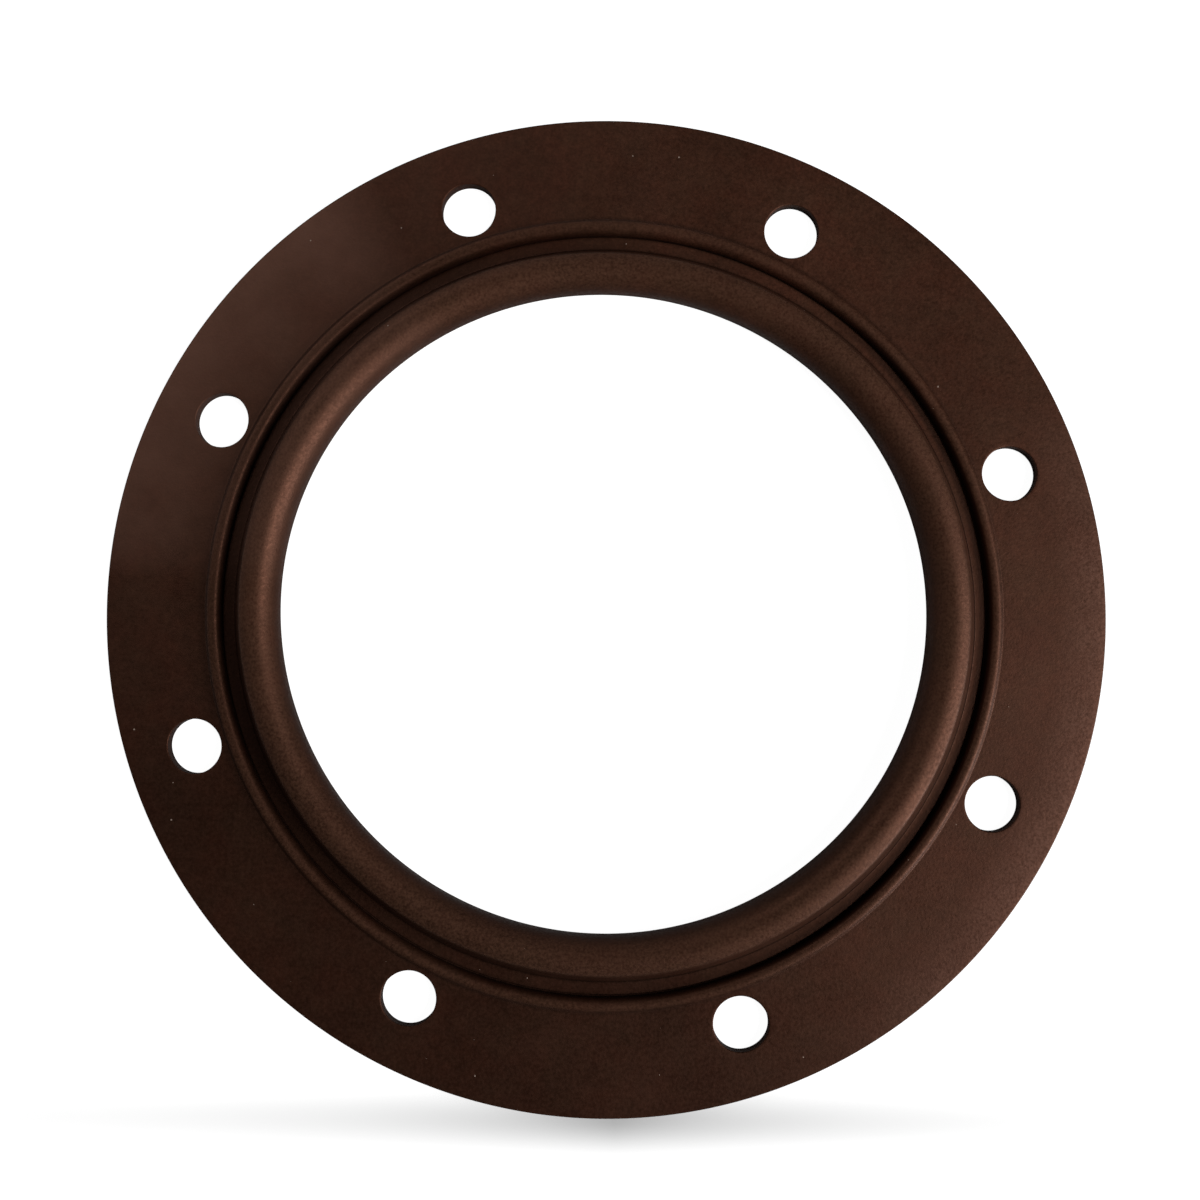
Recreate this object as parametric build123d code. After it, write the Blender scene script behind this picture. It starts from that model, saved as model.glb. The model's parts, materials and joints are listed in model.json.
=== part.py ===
from build123d import *
import os
from math import sqrt

os.makedirs("parts", exist_ok=True)

# A moulded rubber gasket for a round flange. The back face lies on Z = 0, the bead faces +Z and the
# bore is centred on the Z axis. The ring is one revolved section, drawn from the bore outwards, with
# the bolt holes cut through its flat flange.

# Driving sizes, in millimetres, with angles in degrees. Widths run outwards along the radius.
bore_d = 112.0              # clear bore, at the upright land of the bead
bore_land_h = 1.1           # the land, between the rounds of the bead's two sides
bead_round_r = 4.1          # round of the bead, which starts upright at the top of the land
bead_height = 8.0           # crest of the bead over the back face
bead_outer_w = 2.1          # from the crest to the edge where the bead's outer wall drops
bead_wall_w = 2.3           # outer wall of the bead, which leans out to its foot
shelf_z = 1.2               # shelf between the wall and the groove, over the back face
shelf_w = 2.1
groove_wall_w = 0.1
groove_floor_z = 0.8        # floor of the groove over the back face
groove_floor_w = 0.3
lip_wall_w = 0.2            # outer wall of the groove, up to the crest of the lip
lip_crest_w = 1.65
lip_outer_slope_w = 0.6     # down to the flange
lip_rise = 0.55             # crest of the lip over the flange
flange_t = 2.5
bolt_hole_d = 9.8
bolt_count = 8
bolt_first_angle = 22.5     # from +X, so that the holes straddle both axes
lip_to_bolt_hole = 0.65
bolt_hole_to_rim = 7.6

# Moulded rounds of the section, which keep its sizes at their sharp corners.
wall_foot_round_r = 0.4
groove_round_r = 0.08
lip_crest_in_round_r = 1.3
lip_crest_out_round_r = 0.7
lip_foot_round_r = 0.3
rim_round_r = 0.3
bolt_hole_round_r = 0.2

# Radii and heights that follow, from the bore out to the rim.
bore_r = bore_d / 2
crest_r = bore_r + bead_round_r
land_top_z = bead_height - bead_round_r
bead_back_round_r = land_top_z - bore_land_h
wall_top_r = crest_r + bead_outer_w
wall_top_z = land_top_z + sqrt(bead_round_r**2 - bead_outer_w**2)
wall_foot_r = wall_top_r + bead_wall_w
shelf_edge_r = wall_foot_r + shelf_w
groove_in_r = shelf_edge_r + groove_wall_w
groove_out_r = groove_in_r + groove_floor_w
lip_in_r = groove_out_r + lip_wall_w
lip_out_r = lip_in_r + lip_crest_w
lip_foot_r = lip_out_r + lip_outer_slope_w
lip_top_z = flange_t + lip_rise
bolt_hole_r = bolt_hole_d / 2
bolt_circle_r = lip_foot_r + lip_to_bolt_hole + bolt_hole_r
rim_r = bolt_circle_r + bolt_hole_r + bolt_hole_to_rim


def ring_section():
    """Half section of the ring, with the radius along X and the height along Y."""
    bead_top = RadiusArc(
        (bore_r, land_top_z), (crest_r, bead_height), bead_round_r
    ) + RadiusArc((crest_r, bead_height), (wall_top_r, wall_top_z), bead_round_r)
    corners = [
        ((wall_foot_r, shelf_z), wall_foot_round_r),
        ((shelf_edge_r, shelf_z), groove_round_r),
        ((groove_in_r, groove_floor_z), groove_round_r),
        ((groove_out_r, groove_floor_z), groove_round_r),
        ((lip_in_r, lip_top_z), lip_crest_in_round_r),
        ((lip_out_r, lip_top_z), lip_crest_out_round_r),
        ((lip_foot_r, flange_t), lip_foot_round_r),
        ((rim_r, flange_t), rim_round_r),
        ((rim_r, 0), rim_round_r),
        ((bore_r, 0), bead_back_round_r),
    ]
    outer_side = FilletPolyline(
        (wall_top_r, wall_top_z),
        *[corner for corner, _ in corners],
        (bore_r, land_top_z),
        radius=[round_r for _, round_r in corners],
    )
    return make_face([*bead_top.edges(), *outer_side.edges()])


def bolt_holes():
    """The round through holes of the flange, on their bolt circle."""
    places = PolarLocations(bolt_circle_r, bolt_count, start_angle=bolt_first_angle)
    return extrude(Sketch() + places * Circle(bolt_hole_r), amount=flange_t)


def bolt_hole_edges(solid):
    """The circular edges at both ends of the bolt holes."""
    rings = solid.edges().filter_by(GeomType.CIRCLE)
    return rings.filter_by(lambda edge: edge.radius < bolt_hole_r + bolt_hole_round_r)


ring = revolve(Plane.XZ * ring_section(), axis=Axis.Z)
ring -= bolt_holes()
flange_gasket = fillet(bolt_hole_edges(ring), bolt_hole_round_r)
export_step(flange_gasket, "parts/flange_gasket.step")
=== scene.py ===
import json
from math import atan2, cos, pi, radians, sin, sqrt, tan

import bmesh
import bpy
import numpy as np
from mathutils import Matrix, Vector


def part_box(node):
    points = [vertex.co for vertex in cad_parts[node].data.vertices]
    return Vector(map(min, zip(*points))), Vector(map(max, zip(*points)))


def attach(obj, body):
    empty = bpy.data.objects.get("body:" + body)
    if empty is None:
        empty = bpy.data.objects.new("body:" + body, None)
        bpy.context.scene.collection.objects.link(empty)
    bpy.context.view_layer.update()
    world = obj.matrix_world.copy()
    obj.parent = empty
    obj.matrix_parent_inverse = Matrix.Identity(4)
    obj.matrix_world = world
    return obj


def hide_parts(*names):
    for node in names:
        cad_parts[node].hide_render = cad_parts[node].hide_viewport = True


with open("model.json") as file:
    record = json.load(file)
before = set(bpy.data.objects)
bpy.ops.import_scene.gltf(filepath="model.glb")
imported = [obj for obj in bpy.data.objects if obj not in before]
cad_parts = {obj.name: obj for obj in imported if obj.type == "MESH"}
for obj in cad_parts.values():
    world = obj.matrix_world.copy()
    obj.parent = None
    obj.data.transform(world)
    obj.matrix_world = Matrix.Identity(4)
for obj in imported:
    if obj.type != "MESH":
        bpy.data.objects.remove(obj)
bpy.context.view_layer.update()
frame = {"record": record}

# The ring
# The gasket is one ring of dark brown rubber, pressed in a two-part mould. Its round bead stands
# over the bore, then a wall drops to a low shelf and a narrow groove, and a low lip rises beside
# the flat flange. A faint line of flash runs round the rim, where the halves of the mould met.

MM = 0.001
low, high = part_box("flange_gasket")
mounts = {mount["name"]: mount for mount in frame["record"]["mounts"]}
rim_r = high[0]
bead_height = high[2]
bore_r = mounts["bore"]["dims"]["r_mm"] * MM
bore_land_h = mounts["bore"]["dims"]["length_mm"] * MM
flange_t = mounts["front_face"]["pos_m"][2]
hole_count = mounts["bolt_holes"]["dims"]["count"]
hole_r = mounts["bolt_holes"]["dims"]["hole_r_mm"] * MM
hole_circle_r = mounts["bolt_holes"]["dims"]["pcd_mm"] / 2 * MM

bead_round = 4.1 * MM
bead_outer_w = 2.1 * MM
bead_edge_round = 0.9 * MM
bead_wall_w = 2.3 * MM
wall_foot_round = 0.4 * MM
shelf_z = 1.2 * MM
shelf_w = 2.1 * MM
groove_wall_w = 0.1 * MM
groove_floor_z = 0.8 * MM
groove_floor_w = 0.3 * MM
groove_round = 0.08 * MM
lip_wall_w = 0.2 * MM
lip_crest_w = 1.65 * MM
lip_crest_in_round = 1.3 * MM
lip_crest_out_round = 0.7 * MM
lip_outer_slope_w = 0.6 * MM
lip_foot_round = 0.3 * MM
lip_foot_w = 0.3 * MM
lip_rise = 0.55 * MM
rim_round = 0.3 * MM
flash_h = 0.12 * MM
flash_stand = 0.07 * MM
flash_root_round = 0.05 * MM
flash_tip_round = 0.03 * MM

crest_r = bore_r + bead_round
land_top_z = bead_height - bead_round
bead_back_round = land_top_z - bore_land_h
wall_top_r = crest_r + bead_outer_w
wall_foot_r = wall_top_r + bead_wall_w
shelf_edge_r = wall_foot_r + shelf_w
groove_in_r = shelf_edge_r + groove_wall_w
groove_out_r = groove_in_r + groove_floor_w
lip_in_r = groove_out_r + lip_wall_w
lip_out_r = lip_in_r + lip_crest_w
lip_foot_r = lip_out_r + lip_outer_slope_w
lip_top_z = flange_t + lip_rise
plate_in_r = lip_foot_r + lip_foot_w
plate_out_r = rim_r - rim_round

segments_per_hole = 60
corner_step = radians(11)
bead_step = radians(4)
longest_stretch = 0.6 * MM


def arc(centre, radius, start, end, step=corner_step):
    """Points of a circular arc: the centre plus the radius turned evenly from start to end."""
    turns = np.linspace(start, end, max(2, int(abs(end - start) / step) + 2))
    return np.column_stack([centre[0] + radius * np.cos(turns), centre[1] + radius * np.sin(turns)])


def rounded_corner(before, corner, after, radius):
    """The arc of the given radius that touches both sides of a corner.

    It starts the radius times the tangent of half the turn before the corner, and its centre is
    a radius to the side that the outline turns to.
    """
    before, corner, after = (np.array(point, float) for point in (before, corner, after))
    way_in = (corner - before) / np.linalg.norm(corner - before)
    way_out = (after - corner) / np.linalg.norm(after - corner)
    turn = atan2(way_in[0] * way_out[1] - way_in[1] * way_out[0], way_in @ way_out)
    side = np.sign(turn) * np.array([-way_in[1], way_in[0]])
    start = corner - way_in * radius * tan(abs(turn) / 2)
    centre = start + side * radius
    first = atan2(*(start - centre)[::-1])
    return arc(centre, radius, first, first + turn)


def rounded_line(start, corners, end):
    """A line from start to end, with a rounded_corner at each (point, round) on its way."""
    points = [start, *[point for point, _ in corners], end]
    arcs = [
        rounded_corner(points[i], points[i + 1], points[i + 2], radius)
        for i, (_, radius) in enumerate(corners)
    ]
    return np.vstack([[start], *arcs, [end]])


def finely_spaced(outline, longest):
    """The outline with even steps on each of its stretches, none longer than the longest."""
    stretches = [
        np.linspace(a, b, int(np.linalg.norm(b - a) / longest) + 1, endpoint=False)
        for a, b in zip(outline[:-1], outline[1:])
    ]
    return np.vstack([*stretches, outline[-1:]])


def inner_side():
    """Outline (radius, height) from the back of the flange, through the bore and over the bead.

    The bead is one arc, cut short where the round of its outer edge takes over. The other parts
    are straight lines between the corners of the section, each corner with its own round.
    """
    back = rounded_line(
        (plate_in_r, 0), [((bore_r, 0), bead_back_round)], (bore_r, land_top_z)
    )
    arc_end_w = bead_outer_w - bead_edge_round
    end_turn = atan2(sqrt(bead_round**2 - arc_end_w**2), arc_end_w)
    bead = arc((crest_r, land_top_z), bead_round, pi, end_turn, bead_step)
    wall_top = (wall_top_r, bead[-1][1] - bead_edge_round / tan(end_turn))
    front = rounded_line(bead[-1], [
        (wall_top, bead_edge_round),
        ((wall_foot_r, shelf_z), wall_foot_round),
        ((shelf_edge_r, shelf_z), groove_round),
        ((groove_in_r, groove_floor_z), groove_round),
        ((groove_out_r, groove_floor_z), groove_round),
        ((lip_in_r, lip_top_z), lip_crest_in_round),
        ((lip_out_r, lip_top_z), lip_crest_out_round),
        ((lip_foot_r, flange_t), lip_foot_round),
    ], (plate_in_r, flange_t))
    return finely_spaced(np.vstack([back, bead[1:-1], front]), longest_stretch)


def rim_side():
    """Outline (radius, height) of the rim, from the front round the line of flash to the back."""
    wall_r = rim_r - flash_stand
    flash_z = flange_t / 2
    edge_round = rim_round - flash_stand
    return rounded_line((plate_out_r, flange_t), [
        ((wall_r, flange_t), edge_round),
        ((wall_r, flash_z + flash_h), flash_root_round),
        ((rim_r, flash_z), flash_tip_round),
        ((wall_r, flash_z - flash_h), flash_root_round),
        ((wall_r, 0), edge_round),
    ], (plate_out_r, 0))


def turned(outline, turns):
    """A surface of revolution.

    Each (radius, height) of the outline goes to radius times the cosine of the turn, radius times
    the sine of the turn, and its height.
    """
    radius, height = outline[:, 0][None, :], outline[:, 1][None, :]
    return np.stack([
        radius * np.cos(turns)[:, None],
        radius * np.sin(turns)[:, None],
        np.repeat(height, len(turns), axis=0),
    ], axis=-1)


def grid_faces(rows, columns, first):
    """Four-sided faces between the neighbours of a grid whose last row meets its first."""
    row, column = np.meshgrid(np.arange(rows), np.arange(columns - 1), indexing="ij")
    next_row = (row + 1) % rows
    return first + np.stack([
        row * columns + column,
        next_row * columns + column,
        next_row * columns + column + 1,
        row * columns + column + 1,
    ], axis=-1).reshape(-1, 4)


# The flat of the flange and its bolt holes
# Eight holes go through the flat of the flange. Rubber gives, so none is quite round, and their
# edges are slightly rolled. Each eighth of the flat is a web of rings that start on the edge of
# its hole and end on the borders of the eighth.

hole_step = 2 * pi / hole_count
hole_edge_round = 0.2 * MM
hole_edge_step = pi / 8
hole_wall_stretch = 0.9 * MM
hole_unevenness = 0.13 * MM
side_points = 12
web_rings = 11
web_crowding = 1.6
randomness = np.random.default_rng(8)


def sector_border():
    """Polar places (turn, radius) round the border of one eighth of the flat.

    They run along the rim from its middle, down one side, along the lip, and up the other side.
    """
    half = hole_step / 2
    along = np.linspace(-half, half, segments_per_hole + 1)
    across = np.linspace(plate_out_r, plate_in_r, side_points + 1)
    outer = np.column_stack([along, np.full_like(along, plate_out_r)])
    right = np.column_stack([np.full_like(across, half), across])
    inner = np.column_stack([along[::-1], np.full_like(along, plate_in_r)])
    left = np.column_stack([np.full_like(across, -half), across[::-1]])
    loop = np.vstack([outer[:-1], right[:-1], inner[:-1], left[:-1]])
    return np.roll(loop, -segments_per_hole // 2, axis=0)


def hole_radii(angles):
    """Radius of a hole by angle: its size less a few slow waves, so that it is never larger."""
    waves = sum(
        randomness.uniform(0.2, 1) / order * np.cos(order * (angles + randomness.uniform(0, 2 * pi)))
        for order in (2, 3, 4)
    )
    return hole_r - hole_unevenness * (1 + waves / 2)


def hole_profile():
    """Places (outwards from the hole's wall, height) from the front edge to the back edge."""
    front_z = flange_t - hole_edge_round
    front = arc((hole_edge_round, front_z), hole_edge_round, pi / 2, pi, hole_edge_step)
    back = arc((hole_edge_round, hole_edge_round), hole_edge_round, pi, 3 * pi / 2, hole_edge_step)
    return finely_spaced(np.vstack([front, back]), hole_wall_stretch)


def plate_with_hole(number):
    """Points and faces of one eighth of the flat, front and back, with the wall of its hole.

    Between hole and border the turn and the radius both go from one to the other, by the share
    of the way raised to web_crowding, which crowds the rings round the hole. The four corners of
    the eighth, and the middle of its rim, meet the hole at the angles in corner_angles.
    """
    middle = (number + 0.5) * hole_step
    border = sector_border()
    corner = segments_per_hole // 2
    corner_turns = [0, corner, corner + side_points, corner + side_points + segments_per_hole,
                    corner + 2 * side_points + segments_per_hole, len(border)]
    corner_angles = radians(90) - radians(1) * np.array([0, 58, 104, 256, 302, 360])
    angles = np.interp(np.arange(len(border)), corner_turns, corner_angles)
    wall = hole_radii(angles)
    rim = wall + hole_edge_round
    hole_polar = np.column_stack([
        np.arctan2(rim * np.cos(angles), hole_circle_r + rim * np.sin(angles)),
        np.hypot(rim * np.cos(angles), hole_circle_r + rim * np.sin(angles)),
    ])
    shares = np.linspace(0, 1, web_rings)[:, None, None] ** web_crowding
    web = hole_polar * (1 - shares) + border * shares

    def placed(turn, radius, height):
        return np.stack([
            radius * np.cos(middle - turn), radius * np.sin(middle - turn), np.full_like(radius, height)
        ], axis=-1)

    front = placed(web[..., 0], web[..., 1], flange_t)
    back = placed(web[..., 0], web[..., 1], 0.0)
    profile = hole_profile()
    across = (wall[None, :] + profile[:, :1]) * np.cos(angles)
    outward = hole_circle_r + (wall[None, :] + profile[:, :1]) * np.sin(angles)
    tube = placed(np.arctan2(across, outward), np.hypot(across, outward), 0.0)
    tube[..., 2] = profile[:, 1:]
    grids = [front[::-1], tube, back]
    return np.concatenate([grid.transpose(1, 0, 2).reshape(-1, 3) for grid in grids]), [
        (len(border), grid.shape[0]) for grid in grids
    ]


# The gasket as it lies
# The surfaces join into one closed skin. Soft rubber is never quite round: the bore is a little
# oval and lies off the middle, the bead bulges out, and the flange stands out most on the right.

oval_reach = 0.35 * MM
oval_turn = radians(165)
bore_shift = 0.08 * MM
bore_shift_turn = radians(255)
bead_bulge = 0.37 * MM
bead_bulge_turn = radians(-15)
lip_lean = 0.25 * MM
lip_lean_w = 0.6 * MM
lip_lean_turn = radians(130)
rim_pull = 0.2 * MM
rim_far_turn = radians(-13)
rim_oval_reach = 0.08 * MM
rim_oval_turn = radians(-34)
join_reach = 0.002 * MM


def settled(points):
    """The points, each moved along its radius.

    At the bore they move by oval_reach times the cosine of twice the turn from oval_turn, plus
    bore_shift times the cosine of the turn from bore_shift_turn, and this fades evenly to nothing
    at the rim. The rim is pulled in by rim_pull times one less the cosine of the turn from
    rim_far_turn, plus rim_oval_reach times one less the cosine of twice the turn from
    rim_oval_turn, and this fades with the square of the way to the lip. The outer wall of the bead
    moves by bead_bulge times the mean of the cosines of the turn from bead_bulge_turn and of twice
    that turn. The inner side of the lip moves inwards, by lip_lean times half of one plus the
    cosine of the turn from lip_lean_turn.
    """
    radius = np.hypot(points[:, 0], points[:, 1])
    turn = np.arctan2(points[:, 1], points[:, 0])
    way = np.clip((radius - lip_out_r) / (rim_r - lip_out_r), 0, 1)
    fade = (rim_r - radius) / (rim_r - bore_r)
    reach = oval_reach * np.cos(2 * (turn - oval_turn)) + bore_shift * np.cos(turn - bore_shift_turn)
    pull = rim_pull * (1 - np.cos(turn - rim_far_turn))
    pull += rim_oval_reach * (1 - np.cos(2 * (turn - rim_oval_turn)))
    from_bulge = turn - bead_bulge_turn
    wall_share = np.interp(radius, [crest_r, wall_top_r, wall_foot_r, shelf_edge_r], [0, 1, 1, 0])
    bulge = bead_bulge * wall_share * (np.cos(from_bulge) + np.cos(2 * from_bulge)) / 2
    lip_places = [groove_in_r, groove_out_r, lip_in_r + lip_lean_w, lip_out_r]
    lip_share = np.interp(radius, lip_places, [0, 1, 1, 0])
    lean = lip_lean * lip_share * (1 + np.cos(turn - lip_lean_turn)) / 2
    scale = 1 + (fade * reach + bulge - lean - way**2 * pull) / radius
    return points * np.column_stack([scale, scale, np.ones_like(scale)])


def gasket_mesh():
    """All the surfaces of the ring as one closed mesh, joined where their edges meet.

    The attribute true_radius keeps each point's radius from before it was settled.
    """
    turn_count = hole_count * segments_per_hole
    turns = np.arange(turn_count) * 2 * pi / turn_count
    points, faces, count = [], [], 0
    for outline in (inner_side(), rim_side()):
        faces.append(grid_faces(turn_count, len(outline), count))
        points.append(turned(outline, turns).reshape(-1, 3))
        count += len(points[-1])
    for number in range(hole_count):
        plate, grids = plate_with_hole(number)
        for rows, columns in grids:
            faces.append(grid_faces(rows, columns, count))
            count += rows * columns
        points.append(plate)
    points = np.concatenate(points)
    mesh = bpy.data.meshes.new("gasket")
    mesh.from_pydata(settled(points), [], np.concatenate(faces).tolist())
    true_radius = mesh.attributes.new("true_radius", "FLOAT", "POINT")
    true_radius.data.foreach_set("value", np.hypot(points[:, 0], points[:, 1]))
    shape = bmesh.new()
    shape.from_mesh(mesh)
    bmesh.ops.remove_doubles(shape, verts=shape.verts, dist=join_reach)
    bmesh.ops.recalc_face_normals(shape, faces=shape.faces)
    shape.to_mesh(mesh)
    shape.free()
    mesh.shade_smooth()
    return mesh


gasket = bpy.data.objects.new("gasket", gasket_mesh())
bpy.context.collection.objects.link(gasket)
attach(gasket, "root")
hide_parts("flange_gasket")

# The rubber
# Filled brown rubber as it comes from the mould: satin, a little cloudy, with the fine grain of
# the mould's surface. The tops of its bead and lip are painted paler, partly as wear and partly
# as a painted highlight, and painted shade darkens its groove and creases and the shadows of the
# bead and lip. A pale bloom near the rim is partly painted light, and a few specks of dust lie on it.


def node(tree, kind, sockets=None, **options):
    """A new shader node with its options set and its sockets linked or given a value."""
    made = tree.nodes.new("ShaderNode" + kind)
    for name, value in options.items():
        setattr(made, name, value)
    for name, value in (sockets or {}).items():
        if isinstance(value, bpy.types.NodeSocket):
            tree.links.new(value, made.inputs[name])
        else:
            made.inputs[name].default_value = value
    return made


def calculated(tree, operation, a, b=0.0):
    """The result of a sum on one or two values."""
    return node(tree, "Math", {0: a, 1: b}, operation=operation).outputs[0]


def spread(tree, value, start, end, to_start=0.0, to_end=1.0):
    """A value taken evenly from one range to another, and held at its ends."""
    return node(tree, "MapRange", {
        "Value": value, "From Min": start, "From Max": end, "To Min": to_start, "To Max": to_end,
    }).outputs["Result"]


def mixed(tree, share, a, b, blend="MIX"):
    """Colour a with colour b over it, by the share."""
    return node(tree, "Mix", {0: share, 6: a, 7: b}, data_type="RGBA", blend_type=blend).outputs[2]


rubber = bpy.data.materials.new("moulded_rubber")
rubber.use_nodes = True
skin = rubber.node_tree
skin_shader = skin.nodes["Principled BSDF"]
skin_place = node(skin, "TexCoord").outputs["Object"]
skin_x, skin_y, skin_z = node(skin, "SeparateXYZ", {0: skin_place}).outputs
skin_turn = calculated(skin, "ARCTAN2", skin_y, skin_x)
skin_radius = node(skin, "Attribute", attribute_name="true_radius").outputs["Fac"]


def noise(size, detail):
    """Cloudy noise from 0 to 1 whose spots are about size metres across."""
    return node(skin, "TexNoise", {
        "Vector": skin_place, "Scale": 1 / size, "Detail": detail, "Roughness": 0.55,
    }).outputs["Fac"]


def uneven(size, least, most, detail=3.0, half_range=0.2):
    """Noise spread from the least to the most value, over a half range to both sides of its middle."""
    return spread(skin, noise(size, detail), 0.5 - half_range, 0.5 + half_range, least, most)


def joined(operation, *values):
    """Several values, taken from the first to the last through the same sum."""
    total = values[0]
    for value in values[1:]:
        total = calculated(skin, operation, total, value)
    return total


def patch(middle, half_width, soft, outside=0.0, inside=1.0):
    """The inside value within a half width of a turn round the ring (all in degrees).

    It goes over to the outside value by the cosine of the turn from the middle, within the soft
    edge past the half width.
    """
    nearness = calculated(skin, "COSINE", calculated(skin, "SUBTRACT", skin_turn, radians(middle)))
    return spread(
        skin, nearness, cos(radians(half_width + soft)), cos(radians(half_width)), outside, inside
    )


def beside(radius, reach):
    """One at a radius of the section, and evenly less up to the reach on either side of it."""
    off = calculated(skin, "ABSOLUTE", calculated(skin, "SUBTRACT", skin_radius, radius))
    return spread(skin, off, reach, 0.0)


dark_brown = (0.0165, 0.0063, 0.0037, 1)
warm_brown = (0.0270, 0.0104, 0.0063, 1)
red_hue = (1.04, 0.94, 0.88, 1)
olive_hue = (0.94, 1.04, 0.98, 1)
cloud_size = 22 * MM
hue_size = 7 * MM
mottle_size = 1.5 * MM
grain_size = 0.45 * MM

rubber_colour = mixed(skin, uneven(cloud_size, 0.0, 1.0), dark_brown, warm_brown)
hue = mixed(skin, uneven(hue_size, 0.0, 1.0, half_range=0.15), red_hue, olive_hue)
rubber_colour = mixed(skin, 1.0, rubber_colour, hue, "MULTIPLY")
grain = joined("MULTIPLY", uneven(grain_size, -0.28, 0.28, 2.0), patch(-135, 60, 40, 1.0, 0.35))
# The colour is also made lighter round the ring at 45 degrees and darker round it at -115 degrees.
tone = joined(
    "MULTIPLY", uneven(mottle_size, 0.8, 1.2, 4.0), calculated(skin, "ADD", grain, 1.0),
    patch(45, 40, 30, 1.0, 1.35), patch(-115, 35, 30, 1.0, 0.75),
)
tone_colour = node(skin, "CombineXYZ", {0: tone, 1: tone, 2: tone}).outputs[0]
rubber_colour = mixed(skin, 1.0, rubber_colour, tone_colour, "MULTIPLY")

# The tops of the bead and lip are painted paler: partly wear, partly a painted highlight.
wear_and_highlight_brown = (0.052, 0.0245, 0.0145, 1)
on_lip = joined(
    "MULTIPLY", beside((lip_in_r + lip_foot_r) / 2, 1.6 * MM),
    spread(skin, skin_z, flange_t - 0.3 * MM, lip_top_z, 0.0, 0.7),
)
on_bead = spread(skin, skin_z, 0.65 * bead_height, 0.95 * bead_height, 0.0, 0.75)
sandy = uneven(grain_size, 0.2, 1.0, 2.0, 0.15)
wear_and_highlight = joined("MULTIPLY", joined("MAXIMUM", on_lip, on_bead), sandy)
rubber_colour = mixed(skin, wear_and_highlight, rubber_colour, wear_and_highlight_brown)

# Painted shade: the groove and the creases at the foot of the bead's wall and of the lip are darkened,
# and the lip's shadow beyond it on the left.
# as are the lip's shadow on the outer shelf on the right, and the bead's shadow on the shelf
painted_shade_brown = (0.006, 0.0028, 0.0018, 1)
on_left = patch(180, 35, 35)
in_groove = joined(
    "MULTIPLY", spread(skin, skin_radius, shelf_edge_r - 0.4 * MM, shelf_edge_r),
    spread(skin, skin_z, shelf_z + 0.4 * MM, shelf_z - 0.2 * MM), patch(150, 40, 30, 1.0, 0.15),
)
past_shelf_on_right = joined(
    "MULTIPLY", patch(-5, 45, 20),
    spread(skin, skin_radius, shelf_edge_r - 1.35 * MM, shelf_edge_r - 0.75 * MM),
    spread(skin, skin_radius, lip_in_r + 0.6 * MM, lip_in_r + 0.2 * MM),
)
at_wall_foot = joined("MULTIPLY", patch(180, 35, 35, 0.75, 0.2), beside(wall_foot_r, 0.5 * MM))
at_lip_foot = joined("MULTIPLY", beside(lip_foot_r + 0.1 * MM, 0.5 * MM), 0.5)
past_lip_on_left = joined("MULTIPLY", on_left, beside(lip_foot_r + 0.4 * MM, 1.2 * MM), 0.6)
shelf_on_left = joined(
    "MULTIPLY", on_left, spread(skin, skin_radius, wall_foot_r - 0.3 * MM, wall_foot_r + 0.4 * MM),
    spread(skin, skin_radius, lip_in_r, groove_in_r), 0.65,
)
painted_shade = joined(
    "MAXIMUM", in_groove, past_shelf_on_right, at_wall_foot, at_lip_foot, past_lip_on_left, shelf_on_left
)
rubber_colour = mixed(skin, painted_shade, rubber_colour, painted_shade_brown)

# A paler patch near the rim on the right and on the upper left: partly a pale bloom, partly painted
# light where light falls there.
bloom_and_light_brown = (0.085, 0.042, 0.030, 1)
bloom_and_light_size = 9 * MM
bloom_and_light_start_r = 79 * MM
bloom_and_light_full_r = 86 * MM
left_bloom_and_light = joined(
    "MULTIPLY", patch(151, 22, 7), spread(skin, skin_radius, lip_out_r, rim_r, 0.28, 0.82)
)
right_bloom_and_light = joined(
    "MULTIPLY", patch(-14, 20, 24), spread(skin, skin_radius, bloom_and_light_start_r, bloom_and_light_full_r, 0.0, 0.7),
    uneven(grain_size, 0.3, 1.5, 2.0, 0.15),
)
bloom_and_light = joined(
    "MULTIPLY", joined("MAXIMUM", left_bloom_and_light, right_bloom_and_light), uneven(bloom_and_light_size, 0.55, 1.0, 5.0)
)
rubber_colour = mixed(skin, bloom_and_light, rubber_colour, bloom_and_light_brown)

dust_colour = (0.22, 0.17, 0.14, 1)
speck_cell = 8 * MM
largest_speck_r = 0.16 * MM
speck_share = 0.16
specks = node(skin, "TexVoronoi", {"Vector": skin_place, "Scale": 1 / speck_cell},
              voronoi_dimensions="2D").outputs
speck_chance = node(skin, "SeparateColor", {0: specks["Color"]}).outputs[0]
speck_r = spread(skin, speck_chance, 1 - speck_share, 1.0, 0.0, largest_speck_r / speck_cell)
on_speck = calculated(skin, "LESS_THAN", specks["Distance"], speck_r)
rubber_colour = mixed(skin, on_speck, rubber_colour, dust_colour)
skin.links.new(rubber_colour, skin_shader.inputs["Base Color"])

skin_shader.inputs["Specular IOR Level"].default_value = 0.38
skin_shader.inputs["Specular Tint"].default_value = (1.0, 0.445, 0.29, 1)
roughness = joined("ADD", uneven(9 * MM, 0.40, 0.48), uneven(0.6 * MM, -0.06, 0.10, 2.0, 0.15))
skin.links.new(roughness, skin_shader.inputs["Roughness"])
fine_grain = node(skin, "Bump", {
    "Strength": 1.0, "Distance": 0.03 * MM, "Height": noise(0.5 * MM, 2.0),
})
slow_waves = node(skin, "Bump", {
    "Strength": 0.5, "Distance": 0.05 * MM, "Height": noise(5 * MM, 1.0),
    "Normal": fine_grain.outputs["Normal"],
})
skin.links.new(slow_waves.outputs["Normal"], skin_shader.inputs["Normal"])
gasket.data.materials.append(rubber)

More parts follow.
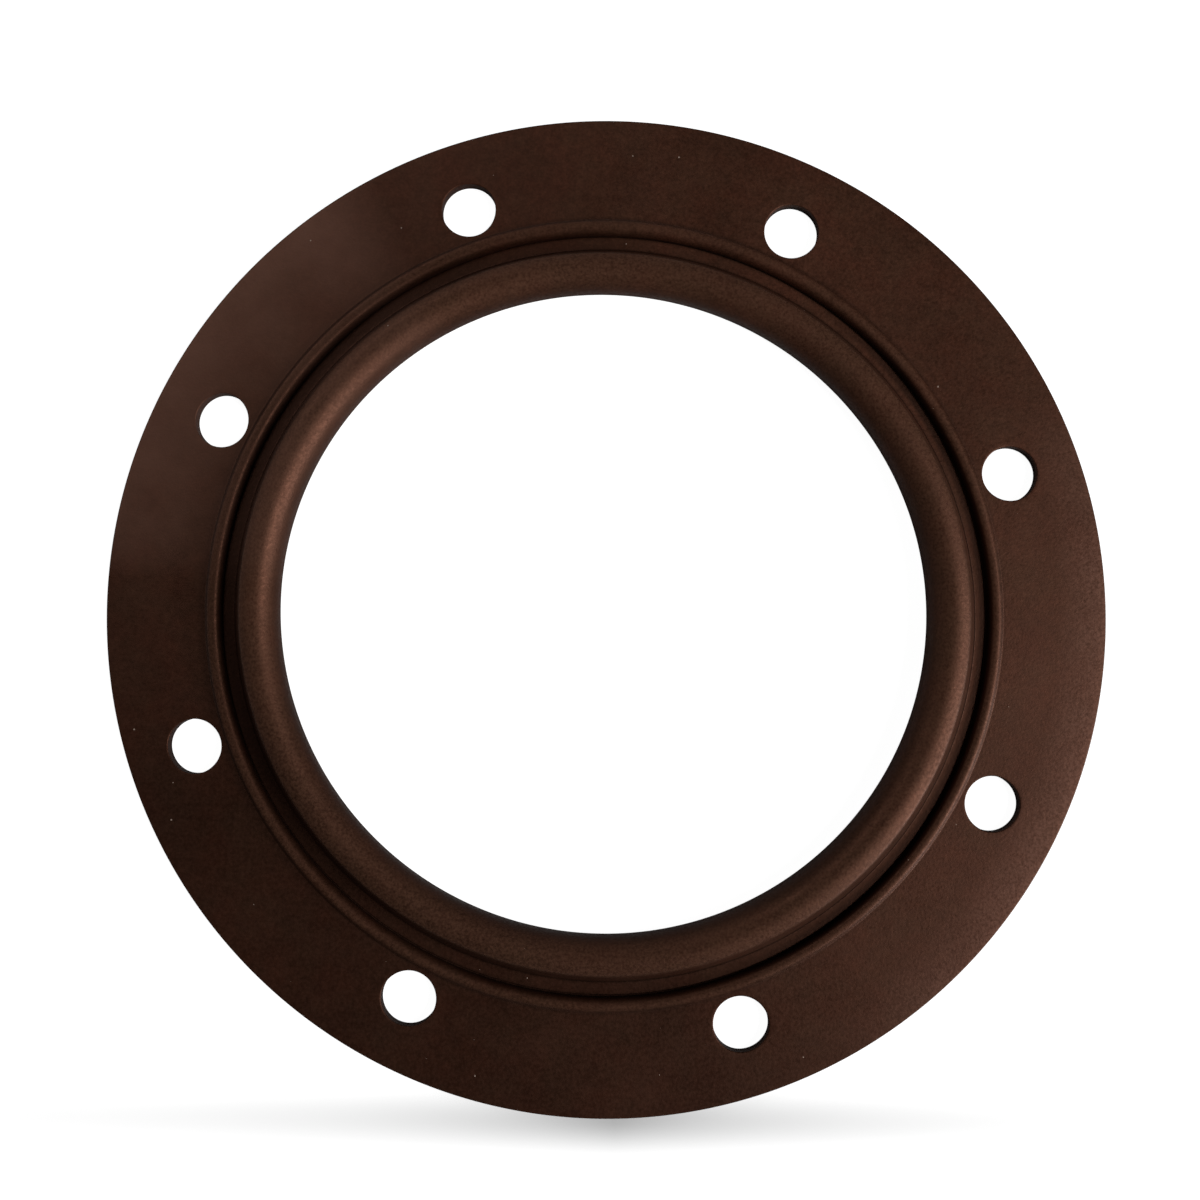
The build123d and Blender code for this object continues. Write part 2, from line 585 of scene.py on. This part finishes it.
# The table
# A seamless white sheet under the ring. It looks white to the camera, keeps the ring's shadow,
# and has a painted shadow where the front of the rim meets it.

table_half = 3.0
table_drop = 0.02 * MM
sheet_grey = (0.3, 0.3, 0.3, 1)
sheet_white = 0.95
shade_place_x = 8.3 * MM
shade_place_y = -87.8 * MM
shade_turn = radians(4)
shade_half_w = 37 * MM
shade_half_h = 5 * MM
shade_depth = 0.74
shade_tail = 1.2
bpy.ops.mesh.primitive_plane_add(size=2 * table_half, location=(0, 0, low[2] - table_drop))
table = bpy.context.object
table.name = "table"

white_sheet = bpy.data.materials.new("white_sheet")
white_sheet.use_nodes = True
sheet = white_sheet.node_tree
sheet_shader = sheet.nodes["Principled BSDF"]
sheet_shader.inputs["Base Color"].default_value = sheet_grey
sheet_shader.inputs["Roughness"].default_value = 1.0
sheet_shader.inputs["Specular IOR Level"].default_value = 0.0
sheet_shader.inputs["Emission Color"].default_value = (1, 1, 1, 1)

# The painted shadow is a bell curve across the sheet, divided by one plus the way along it raised
# to shade_tail. Both ways are counted from its middle, in half widths and half heights.
shade_place = node(sheet, "Mapping", {
    "Vector": node(sheet, "TexCoord").outputs["Object"],
    "Location": (shade_place_x, shade_place_y, 0), "Rotation": (0, 0, shade_turn),
    "Scale": (shade_half_w, shade_half_h, 1),
}, vector_type="TEXTURE").outputs[0]
shade_x, shade_y, _ = node(sheet, "SeparateXYZ", {0: shade_place}).outputs
along = calculated(sheet, "POWER", calculated(sheet, "ABSOLUTE", shade_x), shade_tail)
across = calculated(sheet, "MULTIPLY", shade_y, shade_y)
bell = calculated(sheet, "EXPONENT", calculated(sheet, "MULTIPLY", across, -1.0))
shade = calculated(sheet, "DIVIDE", bell, calculated(sheet, "ADD", along, 1.0))
sheet_rays = node(sheet, "LightPath").outputs
sheet_seen = calculated(sheet, "MAXIMUM", sheet_rays["Is Camera Ray"], sheet_rays["Is Transmission Ray"])
lit_share = calculated(
    sheet, "SUBTRACT", sheet_white, calculated(sheet, "MULTIPLY", shade, shade_depth)
)
sheet.links.new(
    calculated(sheet, "MULTIPLY", sheet_seen, lit_share), sheet_shader.inputs["Emission Strength"]
)
table.data.materials.append(white_sheet)

# The studio
# A broad soft window on the right lights the ring, built up from four lamps over each other.
# Four weak lamps fill in from the upper left, the left, the back and the front. The room itself
# is nearly dark, but it looks as white as the sheet to the camera.

room_light = 0.01
world = bpy.data.worlds.new("studio")
bpy.context.scene.world = world
world.use_nodes = True
sky = world.node_tree
sky_rays = node(sky, "LightPath").outputs
sky_seen = calculated(sky, "MAXIMUM", sky_rays["Is Camera Ray"], sky_rays["Is Transmission Ray"])
sky.nodes["Background"].inputs["Color"].default_value = (1, 1, 1, 1)
sky.links.new(
    spread(sky, sky_seen, 0.0, 1.0, room_light, sheet_white), sky.nodes["Background"].inputs["Strength"]
)


def soft_lamp(name, azimuth, elevation, width, height, power, distance=0.8):
    """A rectangular soft light that faces the ring from an azimuth and elevation in degrees.

    It stands on a ball round the middle of the ring, at the distance in metres, and its power is
    in watts.
    """
    lamp = bpy.data.lights.new(name, "AREA")
    lamp.shape = "RECTANGLE"
    lamp.size = width
    lamp.size_y = height
    lamp.energy = power
    lamp_object = bpy.data.objects.new(name, lamp)
    turn, rise = radians(azimuth), radians(elevation)
    lamp_object.location = (distance * cos(rise) * cos(turn), distance * cos(rise) * sin(turn),
                            distance * sin(rise))
    lamp_object.rotation_euler = (pi / 2 - rise, 0, turn + pi / 2)
    bpy.context.collection.objects.link(lamp_object)


window_distance = 0.9
soft_lamp("window_sill", -22, 10, 0.6, 0.16, 2.2, window_distance)
soft_lamp("window_low", -25, 23, 0.6, 0.24, 3.4, window_distance)
soft_lamp("window_middle", -14, 36, 0.5, 0.2, 2.2, window_distance)
soft_lamp("window_high", -12, 50, 0.5, 0.24, 3.6, window_distance)
soft_lamp("fill_upper_left", 135, 48, 0.5, 0.3, 1.0)
soft_lamp("fill_left", 180, 18, 0.5, 0.2, 0.4)
soft_lamp("fill_back", 100, 18, 0.6, 0.2, 0.4)
soft_lamp("fill_front", 265, 18, 0.4, 0.2, 0.16)

# The camera
# It looks down on the ring from almost over its centre, a little from the front, with the ring
# turned slightly in the frame.

camera_data = bpy.data.cameras.new("camera")
camera_data.lens = 39.09
camera_data.sensor_width = 36.0
camera_data.clip_start = 0.01
camera = bpy.data.objects.new("camera", camera_data)
camera.location = (3.53 * MM, -9.73 * MM, 229.5 * MM)
camera.rotation_euler = (0.05131, 0.01436, 0.0704)
bpy.context.collection.objects.link(camera)
bpy.context.scene.camera = camera
bpy.context.scene.view_settings.view_transform = "Standard"
